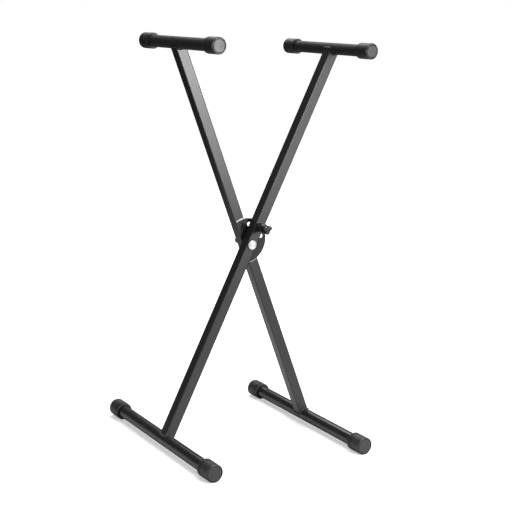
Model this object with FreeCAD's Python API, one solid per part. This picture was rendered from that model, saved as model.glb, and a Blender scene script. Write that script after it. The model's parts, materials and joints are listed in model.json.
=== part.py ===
"""Single-X folding keyboard stand: two square-tube legs crossing on one bolt, with an indexing lock.

The stand is drawn standing on the floor, half open, with its lock pulled back. X is the way the legs
spread, Y is the depth that the bars run along (the front is -Y) and Z is up. The origin is on the floor,
midway between the feet. Millimetres and degrees.
"""
import FreeCAD, Part
import math
import os

from FreeCAD import Vector

# ---------------------------------------------------------------- driving dimensions

# Legs: square tube, notched at both ends to sit on the round bars
leg_width = 25.0
leg_wall = 1.5
leg_corner_radius = 2.5
leg_length = 948.0             # from the axis of the foot bar to the axis of the arm bar
rear_pivot_offset = 5.0        # the rear leg's middle from the bolt, towards the lock plate's round side
open_angle = 48.0              # between the legs as drawn

# Round bars across the ends of the legs
foot_bar_diameter = 29.0
foot_bar_span = 460.0          # over its end caps
arm_bar_diameter = 26.0
arm_bar_span = 315.0           # over its end caps
bar_wall = 1.5

# Rubber end caps
foot_cap_diameter = 40.0
foot_cap_length = 40.0
arm_cap_diameter = 34.5
arm_cap_length = 38.0
cap_end_wall = 5.0
cap_rim_radius = 2.0
cap_mouth_bevel = 0.8
cap_fit = 0.1                  # radial, between a cap's bore and its bar
mouth_recess_width = 1.4       # the bore's wider ring at the mouth
mouth_recess_depth = 2.5
end_ring_width = 1.1           # the groove that rings a cap's end face
end_ring_depth = 0.9
foot_ring_inset = 2.4          # that groove's distance in from the cap's side
arm_ring_inset = 3.4
arm_cap_bevel = 2.2            # the slope round an arm cap's end face
rib_count = 3
rib_pitch = 2.6
rib_groove_width = 1.2
rib_groove_depth = 0.5
rib_setback = 4.5              # first rib groove from the cap's mouth
foot_flat_depth = 0.5          # the flat that a foot cap stands on

# Weld beads
bead_width = 2.6
bead_height = 1.9
stitch_length = 13.0
stitch_count = 3
stitch_pitch = 27.0
stitch_radius = 3.2

# Lock plate, welded flat on the rear leg: a ring of holes round the pivot
plate_thickness = 3.0
lock_radius = 42.5             # pivot to the holes and to the plunger
lock_hole_diameter = 10.0
lock_pitch_angle = 16.0
lock_holes_closing = 1         # holes on the closing side of the one in use
lock_holes_opening = 3
folded_angle = 5.0             # between the legs when folded away, which has a hole of its own
plate_margin = 8.0             # from a hole to the plate's rim, at the widest
plate_shift = 5.0              # the rim's centre lies this far from the pivot
plate_shift_angle = 45.0       # from the rear leg's upper half, towards the opening side

# Pivot bolt and what is on it
bolt_diameter = 8.0
bolt_head_diameter = 20.65
bolt_head_height = 4.9
bolt_head_edge = 0.7
bolt_neck_width = 8.0
bolt_end_chamfer = 1.0
thread_run_out = 2.0           # bolt left standing past the nut
neck_clearance = 0.1
bolt_hole_clearance = 0.1
running_clearance = 0.06
head_washer_diameter = 24.0
head_washer_thickness = 2.0
spacer_diameter = 22.0
spacer_thickness = 1.0
sleeve_wall = 2.0
bush_wall = 0.9
bush_fit = 0.03
rear_washer_diameter = 16.0
rear_washer_thickness = 1.6
nut_flats = 13.0
nut_height = 6.5
nut_collar_diameter = 11.4
nut_collar_height = 1.8
nut_chamfer = 0.6

# Spring plunger
pin_diameter = 9.5
pin_tip_chamfer = 1.2
pin_recess = 1.0               # pin's tip inside the leg's face when pulled back
pin_engagement = 2.7           # into the lock plate when let go
pin_clearance = 0.08
pin_collar_diameter = 11.6
pin_collar_thickness = 1.5
rod_diameter = 6.0
barrel_diameter = 16.0
barrel_length = 17.0           # out from the leg's face
barrel_guide_length = 3.0
barrel_fit = 0.05
chamber_diameter = 12.4
plug_thickness = 2.0
cover_diameter = 21.0
cover_end_wall = 2.5
cover_edge_radius = 1.6
cover_rod_clearance = 0.6
cover_fit = 0.05
spring_wire = 1.0
spring_mean_diameter = 9.6
spring_turns = 5.0
spring_seat_gap = 0.05
knob_lobe_radius = 5.6
knob_lobe_offset = 5.6
knob_lobe_count = 3
knob_thickness = 11.5
knob_edge_radius = 2.8
knob_waist_radius = 2.5
knob_first_lobe_angle = 51.0   # from the leg's own side, up
knob_gap = 0.6                 # knob to cover when the pin is home
knob_bore_depth = 9.0
rod_fit = 0.05

# ---------------------------------------------------------------- worked out from them

lean = open_angle / 2
half_length = leg_length / 2                               # the bolt is halfway along the front leg
rear_slide = rear_pivot_offset * math.tan(math.radians(lean))   # sets the rear leg's bars level with the front's
half_leg = leg_width / 2
foot_cap_radius = foot_cap_diameter / 2
arm_cap_radius = arm_cap_diameter / 2
foot_bar_radius = foot_bar_diameter / 2
arm_bar_radius = arm_bar_diameter / 2

foot_axis_height = foot_cap_radius - foot_flat_depth
pivot_height = foot_axis_height + half_length * math.cos(math.radians(lean))
pivot_x = -rear_pivot_offset / (2 * math.cos(math.radians(lean)))

leg_gap = plate_thickness + spacer_thickness
front_face_y = -leg_gap / 2 - leg_width      # front leg's front
front_back_y = -leg_gap / 2
rear_face_y = leg_gap / 2                    # rear leg's front
rear_back_y = leg_gap / 2 + leg_width
plate_face_y = rear_face_y - plate_thickness

bolt_radius = bolt_diameter / 2
sleeve_outer_radius = bolt_radius + bolt_hole_clearance + sleeve_wall
bush_bore_radius = bolt_radius + running_clearance
bush_outer_radius = bush_bore_radius + bush_wall

pin_travel = pin_recess + spacer_thickness + pin_engagement
pin_tip_y = front_back_y - pin_recess
collar_inner_out = barrel_guide_length + pin_travel + spring_seat_gap
collar_outer_out = collar_inner_out + pin_collar_thickness
plug_inner_out = barrel_length - plug_thickness
cover_length = barrel_length + cover_end_wall
knob_inner_out = cover_length + pin_travel + knob_gap

FRONT = 1                                    # the leg whose top leans towards +X
REAR = -1
X_AXIS = Vector(1, 0, 0)
Y_AXIS = Vector(0, 1, 0)
Z_AXIS = Vector(0, 0, 1)
ORIGIN = Vector(0, 0, 0)


# ---------------------------------------------------------------- shared shapes

def save(name, shape):
    """One sub-part, one file."""
    shape.exportStep(f"parts/{name}.step")
    print(f"{name}: {len(shape.Solids)} solid, {shape.Volume:.0f} mm3, valid {shape.isValid()}")


def stand_up(shape, leg):
    """A leg's own frame has the pivot at the origin and the leg along Z: lean it and lift it into place."""
    placed = shape.copy()
    placed.rotate(ORIGIN, Y_AXIS, leg * lean)
    placed.translate(Vector(pivot_x, 0, pivot_height))
    return placed


def rod_y(radius, y_from, y_to, x=0.0, z=0.0):
    """Cylinder along Y between two depths."""
    return Part.makeCylinder(radius, y_to - y_from, Vector(x, y_from, z), Y_AXIS)


def ring_y(outer_radius, inner_radius, y_from, y_to, x=0.0, z=0.0):
    """Plain ring along Y between two depths."""
    return rod_y(outer_radius, y_from, y_to, x, z).cut(rod_y(inner_radius, y_from, y_to, x, z))


def rounded_outline(corners):
    """Closed wire through (radius from Y, depth along Y, rounding) corners, each rounded by a tangent arc."""
    count = len(corners)
    points = [Vector(r, y, 0) for r, y, _ in corners]
    entries = []
    exits = []
    middles = []
    for index, (_, _, rounding) in enumerate(corners):
        corner = points[index]
        back = points[index - 1] - corner
        ahead = points[(index + 1) % count] - corner
        back.normalize()
        ahead.normalize()
        half_turn = math.acos(max(-1.0, min(1.0, back.dot(ahead)))) / 2
        setback = rounding / math.tan(half_turn)
        entries.append(corner + back * setback)
        exits.append(corner + ahead * setback)
        bisector = back + ahead
        if rounding > 0:
            bisector.normalize()
        reach = rounding / math.sin(half_turn) - rounding
        middles.append(corner + bisector * reach)
    edges = []
    for index, (_, _, rounding) in enumerate(corners):
        if rounding > 0:
            edges.append(Part.Arc(entries[index], middles[index], exits[index]).toShape())
        start = exits[index]
        end = entries[(index + 1) % count]
        if start.distanceToPoint(end) > 1e-6:
            edges.append(Part.makeLine(start, end))
    return Part.Wire(edges)


def turned(corners):
    """Solid turned about Y from a closed outline of (radius, depth, rounding) corners."""
    return Part.Face(rounded_outline(corners)).revolve(ORIGIN, Y_AXIS, 360)


def square_prism(width, corner_radius, z_from, z_to, y_centre):
    """Square bar along Z with rounded long edges."""
    half = width / 2
    bar = Part.makeBox(width, width, z_to - z_from, Vector(-half, y_centre - half, z_from))
    if corner_radius <= 0:
        return bar
    long_edges = [e for e in bar.Edges if abs(e.tangentAt(e.FirstParameter).z) > 0.9]
    return bar.makeFillet(corner_radius, long_edges)


# ---------------------------------------------------------------- legs, bars and their welds

def leg_y(leg):
    """Depth of a leg's own centre line."""
    return -leg * (leg_gap + leg_width) / 2


def leg_x(leg):
    """A leg's own centre line, across its width from the bolt."""
    return rear_pivot_offset if leg == REAR else 0.0


def leg_ends(leg):
    """The axes of a leg's foot bar and arm bar, along the leg from the bolt."""
    slide = rear_slide if leg == REAR else 0.0
    return -half_length - slide, half_length - slide


def leg_prism(leg, width, corner_radius):
    """Square bar on a leg's centre line, from bar axis to bar axis."""
    foot, arm = leg_ends(leg)
    bar = square_prism(width, corner_radius, foot, arm, leg_y(leg))
    bar.translate(Vector(leg_x(leg), 0, 0))
    return bar


def leg_tube(leg):
    """Square tube from bar to bar, each end notched to the round of the bar that it is welded to."""
    inner_corner = max(leg_corner_radius - leg_wall, 0.2)
    tube = leg_prism(leg, leg_width, leg_corner_radius)
    tube = tube.cut(leg_prism(leg, leg_width - 2 * leg_wall, inner_corner))
    for end, radius in zip(leg_ends(leg), (foot_bar_radius, arm_bar_radius)):
        tube = tube.cut(rod_y(radius, leg_y(leg) - leg_width, leg_y(leg) + leg_width, leg_x(leg), end))
    return tube


def front_leg_tube():
    """The front leg is held on the bolt by its square neck, and carries the plunger above it."""
    tube = leg_tube(FRONT)
    neck_half = bolt_neck_width / 2 + neck_clearance
    tube = tube.cut(Part.makeBox(2 * neck_half, leg_wall, 2 * neck_half,
                                 Vector(-neck_half, front_face_y, -neck_half)))
    tube = tube.cut(rod_y(bolt_radius + bolt_hole_clearance, front_back_y - leg_wall, front_back_y))
    barrel_hole_radius = barrel_diameter / 2 + barrel_fit
    tube = tube.cut(rod_y(barrel_hole_radius, front_face_y, front_face_y + leg_wall, 0, lock_radius))
    pin_hole_radius = pin_diameter / 2 + pin_clearance
    return tube.cut(rod_y(pin_hole_radius, front_back_y - leg_wall, front_back_y, 0, lock_radius))


def rear_leg_tube():
    """The rear leg turns on a bush that is pressed through both its walls."""
    return leg_tube(REAR).cut(rod_y(bush_outer_radius + bush_fit, rear_face_y, rear_back_y))


def bar_place(leg, at_foot):
    """Centre of a bar, across X and up Z."""
    foot, arm = leg_ends(leg)
    reach = foot if at_foot else arm
    angle = math.radians(leg * lean)
    return Vector(pivot_x + leg_x(leg) * math.cos(angle) + reach * math.sin(angle), 0,
                  pivot_height - leg_x(leg) * math.sin(angle) + reach * math.cos(angle))


def cross_bar(diameter, span, leg, at_foot):
    """Round tube along Y, ending on the inside of its two caps."""
    half = span / 2 - cap_end_wall
    centre = bar_place(leg, at_foot)
    return ring_y(diameter / 2, diameter / 2 - bar_wall, -half, half, centre.x, centre.z)


def end_bead(leg, at_foot):
    """Weld round a notched tube end: a band on the bar, all round the foot of the leg."""
    radius = foot_bar_radius if at_foot else arm_bar_radius
    y = leg_y(leg)
    notch = math.sqrt(max(radius ** 2 - half_leg ** 2, 0.0))
    lowest = max(notch - bead_width, 0.0)
    top = radius + bead_height
    band = square_prism(leg_width + 2 * bead_width, leg_corner_radius + bead_width, lowest, top, y)
    band = band.common(rod_y(top, y - leg_width, y + leg_width))
    band = band.cut(rod_y(radius, y - leg_width, y + leg_width))
    band = band.cut(square_prism(leg_width, leg_corner_radius, 0, 2 * top, y))
    foot, arm = leg_ends(leg)
    if at_foot:
        band.translate(Vector(leg_x(leg), 0, foot))
    else:
        band.rotate(ORIGIN, X_AXIS, 180)
        band.translate(Vector(leg_x(leg), 2 * y, arm))
    return stand_up(band, leg)


# ---------------------------------------------------------------- end caps

def cap_profile(radius, length, bar_radius, ring_inset, bevel):
    """Cup for a bar's end, turned about Y with its end face at y = 0 and its mouth at y = length."""
    bore = bar_radius + cap_fit
    ring_outer = radius - ring_inset
    ring_inner = ring_outer - end_ring_width
    rim = [(radius, 0.0, cap_rim_radius)]
    if bevel > 0:
        rim = [(radius - bevel, 0.0, 0.0), (radius, bevel, 0.0)]
    return ([(0.0, 0.0, 0.0),
             (ring_inner, 0.0, 0.0),
             (ring_inner, end_ring_depth, 0.0),
             (ring_outer, end_ring_depth, 0.0),
             (ring_outer, 0.0, 0.0)]
            + rim
            + [(radius, length - cap_mouth_bevel, 0.0),
               (radius - cap_mouth_bevel, length, 0.0),
               (bore + mouth_recess_width, length, 0.0),
               (bore + mouth_recess_width, length - mouth_recess_depth, 0.0),
               (bore, length - mouth_recess_depth, 0.0),
               (bore, cap_end_wall, 0.0),
               (0.0, cap_end_wall, 0.0)])


def put_cap(cap, centre, span, end):
    """Set a turned cap on a bar's near (end -1) or far (end +1) end."""
    placed = cap.copy()
    if end > 0:
        placed.rotate(ORIGIN, X_AXIS, 180)
    placed.translate(Vector(centre.x, end * span / 2, centre.z))
    return placed


def foot_cap(leg, end):
    """Big rubber cap with fine grip grooves near its mouth and a flat where it stands."""
    cap = turned(cap_profile(foot_cap_radius, foot_cap_length, foot_bar_radius, foot_ring_inset, 0.0))
    for index in range(rib_count):
        start = foot_cap_length - rib_setback - index * rib_pitch
        groove = ring_y(foot_cap_radius + 1, foot_cap_radius - rib_groove_depth, start - rib_groove_width, start)
        cap = cap.cut(groove)
    centre = bar_place(leg, True)
    cap = put_cap(cap, centre, foot_bar_span, end)
    width = 3 * foot_cap_diameter
    depth = foot_bar_span + 2 * foot_cap_diameter
    above_floor = Part.makeBox(width, depth, width, Vector(centre.x - width / 2, -depth / 2, 0))
    return cap.common(above_floor)


def arm_cap(leg, end):
    """Smaller cap with a bevelled end, for the keyboard to rest on."""
    cap = turned(cap_profile(arm_cap_radius, arm_cap_length, arm_bar_radius, arm_ring_inset, arm_cap_bevel))
    return put_cap(cap, bar_place(leg, False), arm_bar_span, end)


# ---------------------------------------------------------------- lock plate

def lock_plate():
    """Round plate on the rear leg's face, cut off at the leg's side, with the ring of lock holes."""
    hole_radius = lock_hole_diameter / 2
    rim_radius = lock_radius + hole_radius + plate_margin - plate_shift
    shift = math.radians(plate_shift_angle)
    plate = rod_y(rim_radius, plate_face_y, rear_face_y,
                  plate_shift * math.sin(shift), plate_shift * math.cos(shift))
    reach = 2 * (rim_radius + plate_shift)
    plate = plate.cut(Part.makeBox(reach, plate_thickness, 2 * reach,
                                   Vector(leg_x(REAR) - half_leg - reach, plate_face_y, -reach)))
    plate = plate.cut(rod_y(bush_outer_radius + bush_fit, plate_face_y, rear_face_y))
    steps = range(-lock_holes_closing, lock_holes_opening + 1)
    for hole_angle in [folded_angle] + [open_angle + step * lock_pitch_angle for step in steps]:
        angle = math.radians(hole_angle)
        plate = plate.cut(rod_y(hole_radius, plate_face_y, rear_face_y,
                                lock_radius * math.sin(angle), lock_radius * math.cos(angle)))
    return stand_up(plate, REAR)


def plate_stitches():
    """Short welds in the corner between the plate's back and the leg's side."""
    leg_solid = leg_prism(REAR, leg_width, leg_corner_radius)
    side = leg_x(REAR) + half_leg
    stitches = []
    for index in range(stitch_count):
        middle = (index - (stitch_count - 1) / 2) * stitch_pitch
        bead = Part.makeCylinder(stitch_radius, stitch_length,
                                 Vector(side, rear_face_y, middle - stitch_length / 2), Z_AXIS)
        behind = Part.makeBox(4 * stitch_radius, 2 * stitch_radius, stitch_length,
                              Vector(side - leg_corner_radius, rear_face_y, middle - stitch_length / 2))
        stitches.append(bead.common(behind).cut(leg_solid))
    return stand_up(Part.makeCompound(stitches), REAR)


# ---------------------------------------------------------------- pivot

def pivot_bolt():
    """Cup-head bolt with a square neck, from the front leg's face right through the rear leg."""
    seat = front_face_y - head_washer_thickness
    neck_end = front_face_y + leg_wall
    end = rear_back_y + rear_washer_thickness + nut_height + nut_collar_height + thread_run_out
    head_radius = bolt_head_diameter / 2
    rise = bolt_head_height - bolt_head_edge
    dome_radius = (head_radius ** 2 + rise ** 2) / (2 * rise)
    dome_middle = Vector(dome_radius * math.sin(math.asin(head_radius / dome_radius) / 2),
                         seat - bolt_head_height + dome_radius
                         - dome_radius * math.cos(math.asin(head_radius / dome_radius) / 2), 0)
    crown = Vector(0, seat - bolt_head_height, 0)
    shoulder = Vector(head_radius, seat - bolt_head_edge, 0)
    corners = [shoulder,
               Vector(head_radius, seat, 0),
               Vector(bolt_radius, seat, 0),
               Vector(bolt_radius, end - bolt_end_chamfer, 0),
               Vector(bolt_radius - bolt_end_chamfer, end, 0),
               Vector(0, end, 0),
               crown]
    edges = [Part.Arc(crown, dome_middle, shoulder).toShape()]
    edges += [Part.makeLine(a, b) for a, b in zip(corners, corners[1:])]
    bolt = Part.Face(Part.Wire(edges)).revolve(ORIGIN, Y_AXIS, 360)
    neck_half = bolt_neck_width / 2
    neck = Part.makeBox(bolt_neck_width, neck_end - seat, bolt_neck_width, Vector(-neck_half, seat, -neck_half))
    return stand_up(bolt.fuse(neck).removeSplitter(), FRONT)


def head_washer():
    """Plain washer under the bolt's head, with a square hole for its neck."""
    seat = front_face_y - head_washer_thickness
    neck_half = bolt_neck_width / 2 + neck_clearance
    washer = rod_y(head_washer_diameter / 2, seat, front_face_y)
    hole = Part.makeBox(2 * neck_half, head_washer_thickness, 2 * neck_half, Vector(-neck_half, seat, -neck_half))
    return stand_up(washer.cut(hole), FRONT)


def crush_sleeve():
    """Tube inside the front leg that keeps the bolt from squeezing it flat."""
    bore = bolt_radius + bolt_hole_clearance
    sleeve = ring_y(sleeve_outer_radius, bore, front_face_y + leg_wall, front_back_y - leg_wall)
    return stand_up(sleeve, FRONT)


def spacer_washer():
    """Slippery washer between the front leg and the lock plate."""
    washer = ring_y(spacer_diameter / 2, bolt_radius + bolt_hole_clearance, front_back_y, plate_face_y)
    return stand_up(washer, FRONT)


def pivot_bush():
    """Bush that the rear leg turns on, from the lock plate's face to the leg's back."""
    bush = ring_y(bush_outer_radius, bush_bore_radius, plate_face_y, rear_back_y)
    return stand_up(bush, REAR)


def rear_washer():
    """Steel washer between the rear leg and the nut."""
    washer = ring_y(rear_washer_diameter / 2, bolt_radius + bolt_hole_clearance,
                    rear_back_y, rear_back_y + rear_washer_thickness)
    return stand_up(washer, FRONT)


def lock_nut():
    """Hexagon nut with a turned-in collar that holds its nylon ring."""
    y_from = rear_back_y + rear_washer_thickness
    y_to = y_from + nut_height
    corner = nut_flats / math.sqrt(3)
    turns = [math.radians(60 * k) for k in range(7)]
    outline = Part.makePolygon([Vector(corner * math.cos(a), y_from, corner * math.sin(a)) for a in turns])
    nut = Part.Face(outline).extrude(Vector(0, nut_height, 0))
    chamfered = turned([(0.0, y_from, 0.0),
                        (corner - nut_chamfer, y_from, 0.0),
                        (corner, y_from + nut_chamfer, 0.0),
                        (corner, y_to - nut_chamfer, 0.0),
                        (corner - nut_chamfer, y_to, 0.0),
                        (0.0, y_to, 0.0)])
    nut = nut.common(chamfered)
    collar_wall = (nut_collar_diameter - bolt_diameter) / 4
    nut = nut.cut(rod_y(bolt_radius + bolt_hole_clearance, y_from, y_to))
    collar = ring_y(nut_collar_diameter / 2, nut_collar_diameter / 2 - collar_wall, y_to, y_to + nut_collar_height)
    return stand_up(nut.fuse(collar), FRONT)


def nut_ring():
    """Nylon ring that grips the thread."""
    y_from = rear_back_y + rear_washer_thickness + nut_height
    collar_wall = (nut_collar_diameter - bolt_diameter) / 4
    outer = nut_collar_diameter / 2 - collar_wall - bush_fit
    return stand_up(ring_y(outer, bolt_radius + bush_fit, y_from, y_from + nut_collar_height), FRONT)


# ---------------------------------------------------------------- spring plunger

def out(distance):
    """Depth of a point that stands this far out from the front leg's face."""
    return front_face_y - distance


def at_lock(shape):
    """Lift what was drawn on the Y axis to the plunger's place on the front leg."""
    moved = shape.copy()
    moved.translate(Vector(0, 0, lock_radius))
    return stand_up(moved, FRONT)


def plunger_barrel():
    """Steel barrel fixed through the leg's front wall: a close guide for the pin, then the spring's chamber."""
    outer = barrel_diameter / 2
    guide = pin_diameter / 2 + pin_clearance
    chamber = chamber_diameter / 2
    barrel = turned([(guide, out(-leg_wall), 0.0),
                     (outer, out(-leg_wall), 0.0),
                     (outer, out(barrel_length), 0.0),
                     (chamber, out(barrel_length), 0.0),
                     (chamber, out(barrel_guide_length), 0.0),
                     (guide, out(barrel_guide_length), 0.0)])
    return at_lock(barrel)


def barrel_plug():
    """Ring pressed into the barrel's outer end: the spring pushes against it."""
    bore = rod_diameter / 2 + pin_clearance
    plug = ring_y(chamber_diameter / 2 - barrel_fit, bore, out(barrel_length), out(plug_inner_out))
    return at_lock(plug)


def plunger_cover():
    """Moulded cover over the barrel, rounded at its outer edge."""
    radius = cover_diameter / 2
    bore = barrel_diameter / 2 + cover_fit
    rod_hole = rod_diameter / 2 + cover_rod_clearance
    cover = turned([(bore, out(0), 0.0),
                    (radius, out(0), 0.0),
                    (radius, out(cover_length), cover_edge_radius),
                    (rod_hole, out(cover_length), 0.0),
                    (rod_hole, out(barrel_length), 0.0),
                    (bore, out(barrel_length), 0.0)])
    return at_lock(cover)


def plunger_pin():
    """Lock pin, its collar and the rod that the knob is fixed on, turned in one piece."""
    radius = pin_diameter / 2
    rod = rod_diameter / 2
    rod_end = out(knob_inner_out + knob_bore_depth)
    pin = turned([(0.0, pin_tip_y, 0.0),
                  (radius - pin_tip_chamfer, pin_tip_y, 0.0),
                  (radius, pin_tip_y - pin_tip_chamfer, 0.0),
                  (radius, out(collar_inner_out), 0.0),
                  (pin_collar_diameter / 2, out(collar_inner_out), 0.0),
                  (pin_collar_diameter / 2, out(collar_outer_out), 0.0),
                  (rod, out(collar_outer_out), 0.0),
                  (rod, rod_end, 0.0),
                  (0.0, rod_end, 0.0)])
    return at_lock(pin)


def plunger_spring():
    """Coil between the barrel's plug and the pin's collar, squeezed as the knob is pulled."""
    half_wire = spring_wire / 2
    low = collar_outer_out + spring_seat_gap + half_wire
    high = plug_inner_out - spring_seat_gap - half_wire
    mean_radius = spring_mean_diameter / 2
    helix = Part.makeHelix((high - low) / spring_turns, high - low, mean_radius)
    section = Part.Wire(Part.makeCircle(half_wire, Vector(mean_radius, 0, 0), Y_AXIS))
    coil = Part.Wire(helix.Edges).makePipeShell([section], True, True)
    coil.rotate(ORIGIN, X_AXIS, 90)
    coil.translate(Vector(0, out(low), 0))
    return at_lock(coil)


def knob_outline(y):
    """Closed outline of the knob's lobes, each run into the next by a tangent hollow."""
    half_step = math.pi / knob_lobe_count
    offset = knob_lobe_offset
    reach = knob_lobe_radius + knob_waist_radius
    # The hollow's centre lies between two lobes, touching both from outside
    hollow_distance = (offset * math.cos(half_step)
                       + math.sqrt(reach ** 2 - (offset * math.sin(half_step)) ** 2))
    edges = []
    for index in range(knob_lobe_count):
        turn = math.radians(knob_first_lobe_angle) + 2 * half_step * index

        def at(distance, angle):
            return Vector(distance * math.cos(turn + angle), y, distance * math.sin(turn + angle))

        lobe = at(offset, 0)
        hollow_before = at(hollow_distance, -half_step)
        hollow_after = at(hollow_distance, half_step)
        share = knob_lobe_radius / reach
        start = lobe + (hollow_before - lobe) * share
        end = lobe + (hollow_after - lobe) * share
        next_lobe = at(offset, 2 * half_step)
        next_start = next_lobe + (hollow_after - next_lobe) * share
        edges.append(Part.Arc(start, at(offset + knob_lobe_radius, 0), end).toShape())
        edges.append(Part.Arc(end, at(hollow_distance - knob_waist_radius, half_step), next_start).toShape())
    return Part.Wire(edges)


def plunger_knob():
    """Lobed pull knob: round lobes run together, with its edges well rounded."""
    y_from = out(knob_inner_out + knob_thickness)
    y_to = out(knob_inner_out)
    knob = Part.Face(knob_outline(y_from)).extrude(Vector(0, knob_thickness, 0))
    end_edges = [e for e in knob.Edges if e.BoundBox.YLength < 1e-6]
    knob = knob.makeFillet(knob_edge_radius, end_edges)
    bore_depth = knob_bore_depth + rod_fit
    knob = knob.cut(rod_y(rod_diameter / 2 + rod_fit, y_to - bore_depth, y_to))
    return at_lock(knob)


# ---------------------------------------------------------------- build

os.makedirs("parts", exist_ok=True)

for side, leg in (("front", FRONT), ("rear", REAR)):
    tube = front_leg_tube() if leg == FRONT else rear_leg_tube()
    save(f"{side}_leg_tube", stand_up(tube, leg))
    save(f"{side}_foot_bar", cross_bar(foot_bar_diameter, foot_bar_span, leg, True))
    save(f"{side}_arm_bar", cross_bar(arm_bar_diameter, arm_bar_span, leg, False))
    save(f"{side}_foot_weld", end_bead(leg, True))
    save(f"{side}_arm_weld", end_bead(leg, False))
    for place, end in (("near", -1), ("far", 1)):
        save(f"{side}_foot_cap_{place}", foot_cap(leg, end))
        save(f"{side}_arm_cap_{place}", arm_cap(leg, end))

save("lock_plate", lock_plate())
save("plate_stitches", plate_stitches())

save("pivot_bolt", pivot_bolt())
save("head_washer", head_washer())
save("crush_sleeve", crush_sleeve())
save("spacer_washer", spacer_washer())
save("pivot_bush", pivot_bush())
save("rear_washer", rear_washer())
save("lock_nut", lock_nut())
save("nut_ring", nut_ring())

save("plunger_barrel", plunger_barrel())
save("barrel_plug", barrel_plug())
save("plunger_cover", plunger_cover())
save("plunger_pin", plunger_pin())
save("plunger_spring", plunger_spring())
save("plunger_knob", plunger_knob())
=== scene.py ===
"""Looks of the folding keyboard stand: its finishes and weld beads, the light and the camera, round the CAD frame."""
import json
import math

import bpy
import numpy as np
from mathutils import Matrix, Vector


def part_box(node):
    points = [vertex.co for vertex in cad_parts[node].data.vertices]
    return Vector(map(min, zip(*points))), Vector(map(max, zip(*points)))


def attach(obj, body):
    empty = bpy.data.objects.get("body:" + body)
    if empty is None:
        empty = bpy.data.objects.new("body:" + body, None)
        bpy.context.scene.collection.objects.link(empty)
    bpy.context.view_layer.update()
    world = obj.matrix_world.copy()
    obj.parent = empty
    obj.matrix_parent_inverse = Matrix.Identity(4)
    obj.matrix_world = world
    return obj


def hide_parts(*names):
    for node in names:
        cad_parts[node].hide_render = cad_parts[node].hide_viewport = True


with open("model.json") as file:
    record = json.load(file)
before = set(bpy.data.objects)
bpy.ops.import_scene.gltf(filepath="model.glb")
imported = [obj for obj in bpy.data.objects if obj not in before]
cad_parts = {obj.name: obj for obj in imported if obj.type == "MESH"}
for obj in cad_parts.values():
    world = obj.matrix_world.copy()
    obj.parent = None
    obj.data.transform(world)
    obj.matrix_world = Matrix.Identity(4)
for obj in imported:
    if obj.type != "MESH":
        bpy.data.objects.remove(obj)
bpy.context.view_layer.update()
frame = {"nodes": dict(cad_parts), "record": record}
nodes = frame["nodes"]


# ---------------------------------------------------------------- Legs: square tube, black powder coat
# Two lengths of 25 mm square steel tube, notched at their ends, with a satin black powder coat baked on
# after welding. The powder flows before it sets, so it has a fine orange peel and is a little uneven in gloss.

class Socket:
    """A shader output that takes part in Python sums: each sum adds its Math node."""

    def __init__(self, sheet, link):
        self.sheet = sheet
        self.link = link

    def number(self, operation, *values):
        return self.sheet.node("ShaderNodeMath", {"operation": operation}, dict(enumerate(values)))

    def __add__(self, other):
        return self.number("ADD", self, other)

    __radd__ = __add__

    def __sub__(self, other):
        return self.number("SUBTRACT", self, other)

    def __rsub__(self, other):
        return self.number("SUBTRACT", other, self)

    def __mul__(self, other):
        return self.number("MULTIPLY", self, other)

    __rmul__ = __mul__

    def __pow__(self, other):
        return self.number("POWER", self, other)

    def __abs__(self):
        return self.number("ABSOLUTE", self)

    def clamp(self, low=0.0, high=1.0):
        """The value, held between two limits."""
        return self.number("MINIMUM", self.number("MAXIMUM", self, low), high)

    def rise(self, low, high):
        """0 below the low value, 1 above the high one, and a smooth rise between them."""
        return self.sheet.node("ShaderNodeMapRange", {"interpolation_type": "SMOOTHSTEP"},
                               {"Value": self, "From Min": low, "From Max": high})


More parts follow.
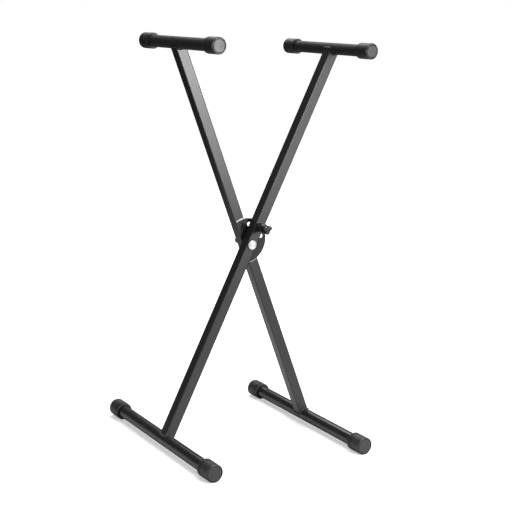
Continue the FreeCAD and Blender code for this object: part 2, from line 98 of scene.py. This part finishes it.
class Sheet:
    """One finish: a Principled shader, and the Object coordinates that its patterns are read at."""

    def __init__(self, name):
        self.material = bpy.data.materials.new(name)
        self.material.use_nodes = True
        self.tree = self.material.node_tree
        self.tree.nodes.clear()
        self.output = self.tree.nodes.new("ShaderNodeOutputMaterial")
        self.shader = self.tree.nodes.new("ShaderNodeBsdfPrincipled")
        self.tree.links.new(self.shader.outputs[0], self.output.inputs["Surface"])
        self.place = self.node("ShaderNodeTexCoord", {}, {}, "Object")

    def wire(self, socket, value):
        """Links a socket to another's output, or sets its value."""
        if isinstance(value, Socket):
            self.tree.links.new(value.link, socket)
        else:
            socket.default_value = value

    def node(self, kind, settings, values, output=0):
        """Adds a node: its settings first, then a value or a link for each named or numbered socket."""
        added = self.tree.nodes.new(kind)
        for key, value in settings.items():
            setattr(added, key, value)
        for key, value in values.items():
            self.wire(added.inputs[key], value)
        return Socket(self, added.outputs[output])

    def noise(self, scale, detail=2.0, roughness=0.5, place=None):
        """Smooth noise from 0 to 1, in lumps of about 1 / scale metres."""
        return self.node("ShaderNodeTexNoise", {}, {"Vector": place or self.place, "Scale": scale,
                                                    "Detail": detail, "Roughness": roughness})

    def blend(self, share, first, second):
        """The colour at a share from 0 to 1 of the way from one colour to another."""
        mixer = self.tree.nodes.new("ShaderNodeMix")
        mixer.data_type = "RGBA"
        self.wire(mixer.inputs[0], share)
        self.wire(mixer.inputs[6], first)
        self.wire(mixer.inputs[7], second)
        return Socket(self, mixer.outputs[2])

    def mapped(self, location=(0, 0, 0), scale=(1, 1, 1)):
        """The piece's own coordinates, moved and drawn out, for a pattern about a point or along one way."""
        return self.node("ShaderNodeMapping", {"vector_type": "TEXTURE"},
                         {"Vector": self.place, "Location": location, "Scale": scale})

    def parts(self, vector, axes):
        """The named components of a vector, in turn."""
        return [self.node("ShaderNodeSeparateXYZ", {}, {"Vector": vector}, axis) for axis in axes]

    def set(self, **values):
        """Values or links for the Principled shader's sockets, with _ for the spaces in their names."""
        for key, value in values.items():
            self.wire(self.shader.inputs[key.replace("_", " ")], value)

    def relief(self, height, depth):
        """Bump: a height from 0 to 1 stands this many metres high."""
        self.set(Normal=self.node("ShaderNodeBump", {}, {"Height": height, "Distance": depth, "Strength": 1.0}))


def grey(value, blue=0.0):
    """A linear grey, with a touch more blue."""
    return (value, value, value + blue, 1.0)


def dress(material, *names):
    """Gives CAD nodes one finish."""
    for name in names:
        nodes[name].data.materials.clear()
        nodes[name].data.materials.append(material)


COAT_COLOUR = 0.0150
COAT_ROUGHNESS = 0.36
PEEL_SIZE = 0.0011
PEEL_DEPTH = 0.00005
GRAIN_SIZE = 0.00022
CLOUD_SIZE = 0.1
RUB_SIZE = 0.035
RUB_FROM = 0.60
RUB_TO = 0.78


def powder_coat(name, colour, roughness):
    """Baked powder: orange peel, a dust-fine grain in the peel, broad cloudiness in the gloss and faint dry rubs."""
    coat = Sheet(name)
    peel = coat.noise(1 / PEEL_SIZE, 2.0)
    grain = coat.noise(1 / GRAIN_SIZE, 1.0)
    cloud = coat.noise(1 / CLOUD_SIZE, 3.0)
    rubs = coat.noise(1 / RUB_SIZE, 6.0, 0.68).rise(RUB_FROM, RUB_TO)
    coat.set(Base_Color=coat.blend(rubs * 0.6, grey(colour, 0.0004), grey(colour * 1.7, 0.0008)),
             Roughness=(roughness + 0.08 * (cloud - 0.5) + 0.05 * (peel - 0.5) + 0.07 * rubs).clamp(0.05, 1.0))
    coat.relief(peel * 0.8 + grain * 0.2, PEEL_DEPTH)
    return coat.material


leg_coat = powder_coat("satin_black_powder", COAT_COLOUR, COAT_ROUGHNESS)
dress(leg_coat, "rear_leg_tube", "front_leg_tube")


# ---------------------------------------------------------------- Foot bars and arm bars
# Round steel tube across each end of a leg, coated with the legs. Its curve lays the powder thinner,
# so the foot bars shine a little more than the legs; the arm bars were coated drier and are matt.

dress(powder_coat("powder_on_foot_bars", colour=0.013, roughness=0.30), "rear_foot_bar", "front_foot_bar")
dress(powder_coat("powder_on_arm_bars", colour=0.013, roughness=0.70), "rear_arm_bar", "front_arm_bar")


# ---------------------------------------------------------------- Welds between legs and bars
# A bead of weld runs round each notched end of a leg, on the round of its bar. It was laid in small
# overlapping puddles, so it is scaled like a row of coins, and the powder coat lies over it.

TUBE_HALF = 0.0125
TUBE_CORNER = 0.0025
BEAD_RADIUS = 0.0023
PUDDLE_PITCH = 0.0019
PUDDLE_LIP = 0.13
PUDDLE_SLANT = 0.22
BEAD_WANDER = 0.07


def tube_outline(share):
    """Place on the tube's rounded square, and the way out from it, at a share of the way round.

    A quarter of the way is one straight side and then a quarter circle, walked at a steady speed; the other
    three quarters are the same, each turned a right angle further.
    """
    side = 2 * (TUBE_HALF - TUBE_CORNER)
    corner = TUBE_CORNER * math.pi / 2
    quarter = np.floor(4 * share) % 4
    walked = (4 * share - np.floor(4 * share)) * (side + corner)
    angle = np.clip((walked - side) / TUBE_CORNER, 0, math.pi / 2)
    centre = TUBE_HALF - TUBE_CORNER
    across = np.where(walked < side, TUBE_HALF, centre + TUBE_CORNER * np.cos(angle))
    along = np.where(walked < side, walked - centre, centre + TUBE_CORNER * np.sin(angle))
    turn = quarter * math.pi / 2
    place = np.stack([across * np.cos(turn) - along * np.sin(turn), across * np.sin(turn) + along * np.cos(turn)])
    outward = np.stack([np.cos(angle + turn), np.sin(angle + turn)])
    return place, outward


def puddled(length, distance, angle, wander):
    """Radius of a bead at a distance along it and an angle round it.

    The plain radius, times 1 less a lip at each puddle's edge: the lip follows the size of a sine of the
    distance in puddles, slanted by the cosine of the angle. A slow sine makes the bead wander in width.
    """
    count = max(2, round(length / PUDDLE_PITCH))
    puddle = distance / length * count - PUDDLE_SLANT * np.cos(angle)
    scale = 1 - PUDDLE_LIP * (1 - np.abs(np.sin(math.pi * puddle)))
    return BEAD_RADIUS * scale * (1 + BEAD_WANDER * np.sin(2 * math.pi * wander * distance / length + wander))


def skin(name, grid, closed_rows):
    """A mesh from rows of points: each row is a ring, and the rows join up into a loop where they are closed."""
    rows, ring = grid.shape[:2]
    index = np.arange(rows * ring).reshape(rows, ring)
    ahead = np.roll(index, -1, axis=0)
    beside = np.roll(index, -1, axis=1)
    corner = np.roll(ahead, -1, axis=1)
    quads = np.stack([index, ahead, corner, beside], axis=-1)
    lids = [] if closed_rows else [index[0].tolist(), index[-1][::-1].tolist()]
    quads = quads if closed_rows else quads[:-1]
    mesh = bpy.data.meshes.new(name)
    mesh.from_pydata(grid.reshape(-1, 3).tolist(), [], quads.reshape(-1, 4).tolist() + lids)
    mesh.shade_smooth()
    mesh.validate()
    piece = bpy.data.objects.new(name, mesh)
    bpy.context.scene.collection.objects.link(piece)
    return piece


def middle(name):
    """Centre of a node's box, as an array."""
    low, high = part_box(name)
    return (np.array(low) + np.array(high)) / 2


RIPPLE_STEPS = 8
RING_STEPS = 16
BEAD_LIFT = 0.0004
perimeter = 8 * (TUBE_HALF - TUBE_CORNER) + 2 * math.pi * TUBE_CORNER
weld_coat = powder_coat("powder_on_welds", colour=0.019, roughness=0.33)

for side in ("rear", "front"):
    foot = middle(f"{side}_foot_bar")
    arm = middle(f"{side}_arm_bar")
    leg_depth = middle(f"{side}_leg_tube")[1]
    up_leg = (arm - foot) / np.linalg.norm(arm - foot)
    for end, bar, way in (("foot", foot, up_leg), ("arm", arm, -up_leg)):
        low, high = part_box(f"{side}_{end}_bar")
        bar_radius = (high[2] - low[2]) / 2
        across_leg = np.array([way[2], 0.0, -way[0]])
        steps = round(perimeter / PUDDLE_PITCH) * RIPPLE_STEPS
        share, angle = np.meshgrid(np.arange(steps) / steps, 2 * math.pi * np.arange(RING_STEPS) / RING_STEPS,
                                   indexing="ij")
        # The bead's middle follows the tube's outline at the height where it meets the round bar
        place, outward = tube_outline(share)
        height = np.sqrt(bar_radius ** 2 - place[0] ** 2)
        radius = puddled(perimeter, share * perimeter, angle, 3 if end == "foot" else 5)
        out_by = BEAD_LIFT + radius * np.cos(angle)
        up_by = BEAD_LIFT + radius * np.sin(angle)
        x = place[0] + outward[0] * out_by
        y = place[1] + outward[1] * out_by
        z = height + up_by
        centre = np.array([bar[0], leg_depth, bar[2]])
        grid = centre + x[..., None] * across_leg + y[..., None] * np.array([0, 1, 0]) + z[..., None] * way
        bead = skin(f"{side}_{end}_weld_bead", grid, True)
        bead.data.materials.append(weld_coat)
        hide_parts(f"{side}_{end}_weld")
        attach(bead, f"{side}_leg")


# ---------------------------------------------------------------- Foot caps
# Black rubber cups pushed over the ends of the foot bars, with grip ribs and a ringed end. Moulded with a
# fine grain, a faint bloom and small scuffs; the side is drier than the end, and the ring's groove is darkened by
# dirt and painted shade.

def rubber(name, colour, roughness, bloom_size=0.018, ring=None):
    """Moulded rubber: grain too fine to see singly, cloudy bloom, and small pale scuffs.

    A cap's ring is given by its middle, its radius and where the end starts along Y: dirt and painted shade darken
    the ring's groove, and the side, from a blasted mould, is drier than the polished end.
    """
    cup = Sheet(name)
    grain = cup.noise(2600.0, 2.0)
    bloom = cup.noise(1 / bloom_size, 4.0, 0.6).rise(0.35, 0.75)
    scuffs = cup.noise(420.0, 5.0, 0.7).rise(0.63, 0.74)
    shade = cup.blend(bloom, grey(colour), grey(colour * 1.35, 0.0003))
    skin_colour = cup.blend(scuffs * 0.4, shade, grey(colour * 2.4))
    gloss = roughness + 0.07 * (bloom - 0.5) + 0.06 * scuffs
    if ring:
        (ring_x, ring_z), ring_radius, end_from = ring
        apart, along, height = cup.parts(cup.place, "XYZ")
        from_axis = ((abs(apart) - ring_x) ** 2 + (height - ring_z) ** 2) ** 0.5
        on_end = abs(along).rise(end_from, end_from + END_BLEND)
        # The ring's groove is painted darker: partly dirt, partly painted shade in the recess.
        groove_dirt_and_shade = (1 - abs(from_axis - ring_radius).rise(GROOVE_HALF, 2 * GROOVE_HALF)) * on_end
        skin_colour = cup.blend(groove_dirt_and_shade, skin_colour, grey(GROOVE_DIRT_AND_SHADE_COLOUR))
        gloss = gloss + SIDE_DRYNESS * (1 - on_end) + DIRT_DRYNESS * groove_dirt_and_shade
    cup.set(Base_Color=skin_colour, Roughness=gloss.clamp(0.05, 1.0))
    cup.relief(grain, 0.00004)
    return cup.material


ENDS = ("near", "far")
GROOVE_HALF = 0.0005
END_BLEND = 0.0010
SIDE_DRYNESS = 0.16
GROOVE_DIRT_AND_SHADE_COLOUR = 0.001
DIRT_DRYNESS = 0.5
FOOT_END_DEPTH = 0.0022
FOOT_RING_RADIUS = 0.01705
foot_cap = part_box("rear_foot_cap_near")
foot_middle = middle("rear_foot_bar")
foot_ring = ((abs(foot_middle[0]), foot_middle[2]), FOOT_RING_RADIUS, -foot_cap[0][1] - FOOT_END_DEPTH)
dress(rubber("black_rubber_feet", colour=0.016, roughness=0.42, ring=foot_ring),
      *[f"{side}_foot_cap_{end}" for side in ("rear", "front") for end in ENDS])


# ---------------------------------------------------------------- Arm caps
# Smaller caps of the same rubber, pushed over the ends of the arm bars. The keyboard rests on their sides,
# and their ends are bevelled round a moulded ring.

ARM_END_DEPTH = 0.0026
ARM_RING_RADIUS = 0.01330
arm_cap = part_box("rear_arm_cap_near")
arm_middle = middle("rear_arm_bar")
arm_ring = ((abs(arm_middle[0]), arm_middle[2]), ARM_RING_RADIUS, -arm_cap[0][1] - ARM_END_DEPTH)
dress(rubber("black_rubber_arms", colour=0.016, roughness=0.42, ring=arm_ring),
      *[f"{side}_arm_cap_{end}" for side in ("rear", "front") for end in ENDS])


# ---------------------------------------------------------------- Lock plate
# Round 3 mm steel plate with the ring of lock holes, laser cut and welded on the rear leg. The pin's tip
# slides on it from hole to hole, which leaves a dull arc in the powder coat at the holes' radius.

LOCK_RADIUS = 0.0425
PIN_TRACK_HALF = 0.0047
PLATE_SHEEN = 0.25
fold_joint = [joint for joint in frame["record"]["behaviour"]["joints"] if joint["name"] == "fold"][0]
pivot = fold_joint["pos_m"]

plate = Sheet("powder_on_lock_plate")
peel = plate.noise(1 / PEEL_SIZE, 2.0)
apart, height = plate.parts(plate.mapped(location=(pivot[0], 0, pivot[2])), "XZ")
distance = (apart * apart + height * height) ** 0.5
track = 1 - abs(distance - LOCK_RADIUS).rise(PIN_TRACK_HALF * 0.5, PIN_TRACK_HALF)
scratches = plate.noise(240.0, 6.0, 0.75).rise(0.42, 0.72)
worn = track * scratches
plate.set(Base_Color=plate.blend(worn * 0.5, grey(0.0110), grey(0.04)),
          Roughness=(0.47 + 0.05 * (peel - 0.5) - 0.08 * worn).clamp(0.05, 1.0),
          Specular_IOR_Level=PLATE_SHEEN)
plate.relief(peel, PEEL_DEPTH)
dress(plate.material, "lock_plate")


# ---------------------------------------------------------------- Stitch welds behind the lock plate
# Three short beads hold the plate's back to the side of the rear leg, each laid in a few puddles and
# rounded off at both ends.

STITCH_LENGTH = 0.013
STITCH_PITCH = 0.027
STITCH_SCALE = 1.1
STITCH_LIFT = 0.0005
STITCH_STEPS = 57
STITCH_RING = 14
END_SHARE = 0.004
REAR_OFFSET = 0.005
rear_line = middle("rear_arm_bar") - middle("rear_foot_bar")
rear_up = rear_line / np.linalg.norm(rear_line)
rear_across = np.array([rear_up[2], 0.0, -rear_up[0]])
plate_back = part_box("lock_plate")[1][1]
corner_line = np.array(pivot) + rear_across * (REAR_OFFSET + TUBE_HALF)
stitch_share, stitch_angle = np.meshgrid(np.linspace(END_SHARE, 1 - END_SHARE, STITCH_STEPS),
                                         2 * math.pi * np.arange(STITCH_RING) / STITCH_RING, indexing="ij")
swell = (1 - np.abs(2 * stitch_share - 1) ** 5) ** 0.5
stitch_parts = []
for number in (-1, 0, 1):
    radius = puddled(STITCH_LENGTH, stitch_share * STITCH_LENGTH, stitch_angle, 1 + abs(number))
    radius = STITCH_SCALE * swell * radius
    along = (stitch_share - 0.5) * STITCH_LENGTH + number * STITCH_PITCH
    out_by = STITCH_LIFT + radius * np.cos(stitch_angle)
    back_by = STITCH_LIFT + radius * np.sin(stitch_angle)
    grid = corner_line + out_by[..., None] * rear_across + along[..., None] * rear_up
    grid[..., 1] = plate_back + back_by
    stitch_parts.append(skin(f"plate_stitch_{number + 2}", grid, False))
for stitch in stitch_parts:
    stitch.data.materials.append(weld_coat)
    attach(stitch, "rear_leg")
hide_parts("plate_stitches")


# ---------------------------------------------------------------- Welds across the leg at the plate's rim
# A bead in the corner between the plate's rim and the front of the rear leg, above and below the pivot. Its bright,
# half-metallic grey is a painted highlight: it stands in for the shine that a lamp high in front lays on the bead's
# round top.

def zinc(name, colour, roughness, speck=0.5, metallic=1.0):
    """Bright zinc: cloudy gloss, soft hammered marks from forging, and dull specks."""
    plating = Sheet(name)
    cloud = plating.noise(420.0, 4.0, 0.6)
    specks = plating.noise(900.0, 3.0, 0.6).rise(0.62, 0.70)
    shade = plating.blend(cloud, grey(colour * 0.86), grey(colour, 0.01))
    plating.set(Base_Color=plating.blend(specks * speck, shade, grey(colour * 0.35)),
                Metallic=metallic,
                Roughness=(roughness + 0.12 * (cloud - 0.5) + 0.15 * specks).clamp(0.05, 1.0))
    plating.relief(plating.noise(700.0, 3.0), 0.00004)
    return plating.material


RIM_RADIUS = 0.0505
RIM_SCALE = 1.05
RIM_LIFT = 0.0003
RIM_END_GAP = 0.0018
RIM_STEPS = 81
plate_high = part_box("lock_plate")[1]
rim_middle = np.array([plate_high[0] - RIM_RADIUS, 0.0, plate_high[2] - RIM_RADIUS])
sideways = float((np.array(pivot) + rear_across * REAR_OFFSET - rim_middle) @ rear_across)
# The bead's bright metal colour is a painted highlight.
rim_bead_painted_highlight = zinc("weld_bead_painted_highlight", colour=0.62, roughness=0.36, metallic=0.55)

# Where the leg's two sides cut the rim, as angles from the leg's own line
reach = TUBE_HALF - RIM_END_GAP
from_angle, to_angle = (math.asin((sideways + across) / RIM_RADIUS) for across in (-reach, reach))
run = RIM_RADIUS * (to_angle - from_angle)
rim_share, rim_angle = np.meshgrid(np.linspace(END_SHARE, 1 - END_SHARE, RIM_STEPS),
                                   2 * math.pi * np.arange(STITCH_RING) / STITCH_RING, indexing="ij")
swell = (1 - np.abs(2 * rim_share - 1) ** 7) ** 0.5
radius = RIM_SCALE * swell * puddled(run, rim_share * run, rim_angle, 2)
round_by = from_angle + (to_angle - from_angle) * rim_share
out_by = RIM_RADIUS + RIM_LIFT + radius * np.cos(rim_angle)

for end, heading in (("top", 1), ("bottom", -1)):
    grid = (rim_middle + (out_by * np.cos(round_by))[..., None] * rear_up * heading
            + (out_by * np.sin(round_by))[..., None] * rear_across)
    grid[..., 1] = plate_back - RIM_LIFT - radius * np.sin(rim_angle)
    rim_bead = skin(f"plate_rim_weld_{end}", grid, False)
    rim_bead.data.materials.append(rim_bead_painted_highlight)
    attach(rim_bead, "rear_leg")


# ---------------------------------------------------------------- Pivot bolt, nut and washers
# Zinc-plated M8 cup-head bolt through both legs, with a steel washer and a locking nut behind, and black
# nylon washers under its head and between the legs.

dress(zinc("bright_zinc", colour=0.88, roughness=0.34, metallic=0.45), "pivot_bolt")
dress(zinc("zinc_nut_and_washer", colour=0.74, roughness=0.34),
      "lock_nut", "rear_washer", "crush_sleeve", "pivot_bush")
dress(rubber("black_nylon", colour=0.005, roughness=0.62, bloom_size=0.006),
      "head_washer", "spacer_washer", "nut_ring")


# ---------------------------------------------------------------- Spring plunger
# A turned steel barrel and pin with a coil spring inside, under a satin black moulded cover, and a lobed
# pull knob moulded on the pin's rod.

dress(zinc("turned_pin", colour=0.62, roughness=0.26, speck=0.2), "plunger_pin")
dress(zinc("turned_barrel", colour=0.50, roughness=0.36, speck=0.3), "plunger_barrel", "barrel_plug")
dress(zinc("spring_wire", colour=0.42, roughness=0.30, speck=0.2), "plunger_spring")


def moulding(name, colour, roughness):
    """Glass-filled nylon: fine sparkle of grain, faint flow streaks and handled, shinier patches."""
    shell = Sheet(name)
    flow = shell.noise(160.0, 4.0, 0.6, shell.mapped(scale=(1, 4, 1)))
    handled = shell.noise(90.0, 3.0).rise(0.45, 0.7)
    shell.set(Base_Color=shell.blend(flow, grey(colour), grey(colour * 1.3, 0.0005)),
              Roughness=(roughness + 0.05 * (flow - 0.5) - 0.08 * handled).clamp(0.05, 1.0))
    shell.relief(shell.noise(2200.0, 2.0), 0.00003)
    return shell.material


dress(moulding("satin_cover", colour=0.014, roughness=0.30), "plunger_cover")
dress(moulding("satin_knob", colour=0.022, roughness=0.22), "plunger_knob")


# ---------------------------------------------------------------- Floor and air
# A white floor that runs on into white air. It keeps the stand's soft shadow, and fades to plain white
# further out. There it is dark for light that bounces, so that the legs mirror a dark surround.

FLOOR_HALF = 30.0
FLOOR_LIFT = 0.45
FADE_FROM = 0.55
FADE_TO = 1.5
DIM_FROM = 0.55
DIM_TO = 1.0
FLOOR_COLOUR = 0.80
DIM_COLOUR = 0.04
FLOOR_ROUGHNESS = 0.9
AIR_LIGHT = 0.10

steps = np.linspace(-FLOOR_HALF, FLOOR_HALF, 3)
floor_x, floor_y = np.meshgrid(steps, steps, indexing="ij")
spots = np.stack([floor_x, floor_y, 0 * floor_x], axis=-1)
number = np.arange(spots.shape[0] * spots.shape[1]).reshape(spots.shape[:2])
tiles = np.stack([number[:-1, :-1], number[1:, :-1], number[1:, 1:], number[:-1, 1:]], axis=-1)
floor_mesh = bpy.data.meshes.new("floor")
floor_mesh.from_pydata(spots.reshape(-1, 3).tolist(), [], tiles.reshape(-1, 4).tolist())
floor = bpy.data.objects.new("floor", floor_mesh)
bpy.context.scene.collection.objects.link(floor)
ground = Sheet("white_floor")
seen = ground.node("ShaderNodeLightPath", {}, {}, "Is Camera Ray")
spread = ground.node("ShaderNodeVectorMath", {"operation": "LENGTH"}, {0: ground.place}, "Value")
glow = ground.blend(spread.rise(FADE_FROM, FADE_TO), grey(FLOOR_LIFT), grey(1.0))
dim = spread.rise(DIM_FROM, DIM_TO) * (1 - seen)
ground.set(Base_Color=ground.blend(dim, grey(FLOOR_COLOUR), grey(DIM_COLOUR)), Roughness=FLOOR_ROUGHNESS,
           Emission_Color=ground.blend(seen, grey(0.0), glow), Emission_Strength=1.0)
floor.data.materials.append(ground.material)

world = bpy.data.worlds.new("white_air")
bpy.context.scene.world = world
world.use_nodes = True
air = world.node_tree
ray = air.nodes.new("ShaderNodeLightPath")
level = air.nodes.new("ShaderNodeMix")
level.inputs[2].default_value = AIR_LIGHT
level.inputs[3].default_value = 1.0
air.links.new(ray.outputs["Is Camera Ray"], level.inputs[0])
air.links.new(level.outputs[0], air.nodes["Background"].inputs["Strength"])
air.nodes["Background"].inputs["Color"].default_value = grey(1.0)


# ---------------------------------------------------------------- Lamps
# A soft box in front to the right, at the height of the arms, grades the legs from light at the top to dark
# at the foot. A low one at the left and a high one in front edge the corners, the bolt and the beads, and two
# large ones, high behind and overhead, light the floor and throw the soft shadow.

LAMP_DISTANCE = 3.0


def soft_box(name, aim_height, azimuth, elevation, width, height, power):
    """A rectangular lamp that faces the stand, at an azimuth right of the front and an elevation in degrees."""
    turn = math.radians(azimuth)
    climb = math.radians(elevation)
    way = Vector((math.sin(turn) * math.cos(climb), -math.cos(turn) * math.cos(climb), math.sin(climb)))
    lamp = bpy.data.lights.new(name, "AREA")
    lamp.shape = "RECTANGLE"
    lamp.size = width
    lamp.size_y = height
    lamp.energy = power
    holder = bpy.data.objects.new(name, lamp)
    holder.location = Vector((0.0, 0.0, aim_height)) + way * LAMP_DISTANCE
    holder.rotation_euler = (-way).to_track_quat("-Z", "Y").to_euler()
    bpy.context.scene.collection.objects.link(holder)


soft_box("front_right", aim_height=0.72, azimuth=21.5, elevation=4.5, width=0.6, height=1.15, power=102.0)
soft_box("low_left", aim_height=0.45, azimuth=-60.0, elevation=2.0, width=0.8, height=1.6, power=24.0)
soft_box("high_front", aim_height=0.45, azimuth=13.0, elevation=64.0, width=0.7, height=0.7, power=18.0)
soft_box("high_behind", aim_height=0.3, azimuth=145.0, elevation=52.0, width=2.4, height=1.8, power=70.0)
soft_box("overhead", aim_height=0.3, azimuth=0.0, elevation=88.0, width=3.0, height=3.0, power=45.0)


# ---------------------------------------------------------------- Camera
# Where the photograph was taken from, about 2.5 m off with a lens of 80 mm: the place, aim and lens that lay the
# stand's own edges on its edges. The lens shift follows from the pixel that the camera is aimed at.

PICTURE = 512.0
SENSOR = 36.0
LENS_PIXELS = 1142.8
AIM_PIXEL = (212.0, 270.7)
STANDS_AT = Vector((-1.3681, -2.1135, 0.9257))
YAW, PITCH, ROLL = 31.226, 12.146, 2.756

yaw, pitch, roll = math.radians(YAW), math.radians(PITCH), math.radians(ROLL)
ahead = Vector((math.sin(yaw) * math.cos(pitch), math.cos(yaw) * math.cos(pitch), -math.sin(pitch)))
level_right = Vector((math.cos(yaw), -math.sin(yaw), 0.0))
level_up = level_right.cross(ahead)
right = math.cos(roll) * level_right + math.sin(roll) * level_up
up = -math.sin(roll) * level_right + math.cos(roll) * level_up

lens = bpy.data.cameras.new("camera")
lens.sensor_width = SENSOR
lens.lens = LENS_PIXELS * SENSOR / PICTURE
lens.shift_x = (PICTURE / 2 - AIM_PIXEL[0]) / PICTURE
lens.shift_y = (AIM_PIXEL[1] - PICTURE / 2) / PICTURE
camera = bpy.data.objects.new("camera", lens)
camera.matrix_world = Matrix.Translation(STANDS_AT) @ Matrix((right, up, -ahead)).transposed().to_4x4()
bpy.context.scene.collection.objects.link(camera)
bpy.context.scene.camera = camera
bpy.context.scene.view_settings.view_transform = "Standard"
